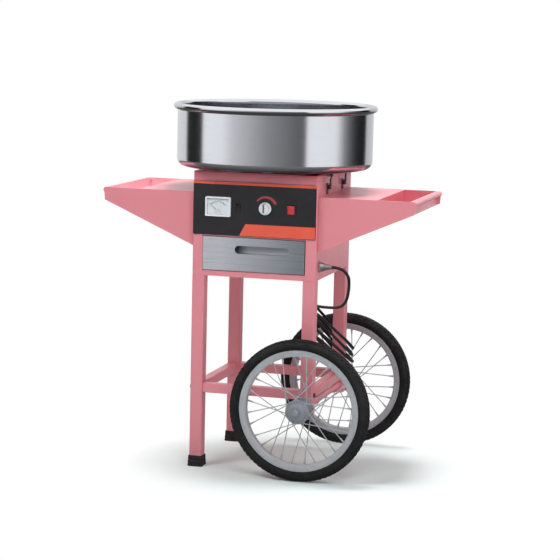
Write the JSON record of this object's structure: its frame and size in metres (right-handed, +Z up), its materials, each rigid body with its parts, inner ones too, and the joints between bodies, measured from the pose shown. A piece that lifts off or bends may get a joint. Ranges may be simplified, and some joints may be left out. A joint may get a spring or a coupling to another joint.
{
  "type": "cotton candy machine",
  "caption": "Electric cotton candy machine: steel bowl with a slotted spinner head over a painted cabinet with drawer, meter and side trays, on a legged cart with spoked wheels.",
  "frame": {"origin": "on the floor under the middle of the cabinet", "axes": "+Z up, -Y towards the control panel, +X towards the wheels"},
  "size_m": [0.812, 0.5612, 0.9184],
  "materials": {
    "pink_paint": "semi-gloss paint",
    "panel_black": "satin",
    "stainless": "polished",
    "satin_steel": "satin",
    "rim_chrome": "polished",
    "cast_aluminium": "cast",
    "black_plastic": "matte",
    "red_plastic": "gloss",
    "white_plastic": "gloss",
    "clear_window": "clear",
    "tyre_rubber": "matte",
    "foot_rubber": "matte",
    "cord_rubber": "matte",
    "hub_grey": "satin",
    "dark_steel": "satin"
  },
  "bodies": {
    "cart": {"cabinet_shell": "pink_paint", "top_plate": "pink_paint", "tray_left": "pink_paint", "tray_right": "pink_paint", "deck_left": "pink_paint", "deck_right": "pink_paint", "leg_front_left": "pink_paint", "leg_front_right": "pink_paint", "leg_rear_left": "pink_paint", "leg_rear_right": "pink_paint", "stretcher_front": "pink_paint", "stretcher_rear": "pink_paint", "stretcher_left": "pink_paint", "stretcher_right": "pink_paint", "control_panel": "panel_black", "bowl": "stainless", "divider_plate": "satin_steel", "drawer_runner_left": "satin_steel", "drawer_runner_right": "satin_steel", "wheel_axle": "satin_steel", "axle_nut_front": "rim_chrome", "axle_nut_rear": "rim_chrome", "cord_gland": "cast_aluminium", "heat_regulator": "black_plastic", "power_switch_bezel": "black_plastic", "heat_switch_bezel": "black_plastic", "brush_holder": "black_plastic", "meter_case": "white_plastic", "meter_dial": "white_plastic", "meter_lens": "clear_window", "foot_front_left": "foot_rubber", "foot_rear_left": "foot_rubber", "power_cord": "cord_rubber", "cord_winding": "cord_rubber", "cord_plug": "cord_rubber", "drive_motor": "dark_steel", "latch_base_front_left": "dark_steel", "latch_base_front_right": "dark_steel", "latch_base_rear_left": "dark_steel", "latch_base_rear_right": "dark_steel"},
    "drawer": {"drawer": "stainless"},
    "knob": {"control_knob": "white_plastic"},
    "needle": {"meter_needle": "black_plastic"},
    "power_rocker": {"power_switch_rocker": "red_plastic"},
    "heat_rocker": {"heat_switch_rocker": "black_plastic"},
    "spinner": {"spinner_base": "cast_aluminium", "spinner_band": "stainless", "spinner_cap": "cast_aluminium", "heater_ring": "satin_steel", "spinner_shaft": "satin_steel"},
    "wheel_front": {"tyre_front": "tyre_rubber", "rim_front": "rim_chrome", "hub_front": "hub_grey"},
    "wheel_rear": {"tyre_rear": "tyre_rubber", "rim_rear": "rim_chrome", "hub_rear": "hub_grey"},
    "latch_front_left": {"latch_lever_front_left": "dark_steel"},
    "latch_front_right": {"latch_lever_front_right": "dark_steel"},
    "latch_rear_left": {"latch_lever_rear_left": "dark_steel"},
    "latch_rear_right": {"latch_lever_rear_right": "dark_steel"}
  },
  "joints": [
    {"name": "drawer_slide", "type": "slide", "parent": "cart", "child": "drawer", "axis": [0, -1, 0], "range_m": [0, 0.22]},
    {"name": "knob_turn", "type": "hinge", "parent": "cart", "child": "knob", "pos_m": [0.0285, -0.178, 0.668], "axis": [0, -1, 0], "range_deg": [0, 270]},
    {"name": "needle_swing", "type": "hinge", "parent": "cart", "child": "needle", "pos_m": [-0.0925, -0.1834, 0.6545], "axis": [0, 1, 0], "range_deg": [0, 90], "stiffness_Nm_per_rad": 0.00002, "springref_deg": -17.19},
    {"name": "power_rocker_tip", "type": "hinge", "parent": "cart", "child": "power_rocker", "pos_m": [0.095, -0.1748, 0.668], "axis": [-1, 0, 0], "range_deg": [0, 16]},
    {"name": "heat_rocker_tip", "type": "hinge", "parent": "cart", "child": "heat_rocker", "pos_m": [-0.043, -0.1748, 0.668], "axis": [-1, 0, 0], "range_deg": [0, 16]},
    {"name": "spinner_spin", "type": "hinge", "parent": "cart", "child": "spinner", "pos_m": [0, 0, 0.8], "axis": [0, 0, 1], "continuous": true},
    {"name": "wheel_front_spin", "type": "hinge", "parent": "cart", "child": "wheel_front", "pos_m": [0.144, -0.235, 0.178], "axis": [0, 1, 0], "continuous": true},
    {"name": "latch_front_left_swing", "type": "hinge", "parent": "cart", "child": "latch_front_left", "pos_m": [-0.166, -0.078, 0.721], "axis": [0, -1, 0], "range_deg": [0, 90]},
    {"name": "latch_front_right_swing", "type": "hinge", "parent": "cart", "child": "latch_front_right", "pos_m": [0.166, -0.078, 0.721], "axis": [0, 1, 0], "range_deg": [0, 90]},
    {"name": "wheel_rear_spin", "type": "hinge", "parent": "cart", "child": "wheel_rear", "pos_m": [0.144, 0.235, 0.178], "axis": [0, 1, 0], "continuous": true},
    {"name": "latch_rear_left_swing", "type": "hinge", "parent": "cart", "child": "latch_rear_left", "pos_m": [-0.166, 0.078, 0.721], "axis": [0, -1, 0], "range_deg": [0, 90]},
    {"name": "latch_rear_right_swing", "type": "hinge", "parent": "cart", "child": "latch_rear_right", "pos_m": [0.166, 0.078, 0.721], "axis": [0, 1, 0], "range_deg": [0, 90]}
  ]
}
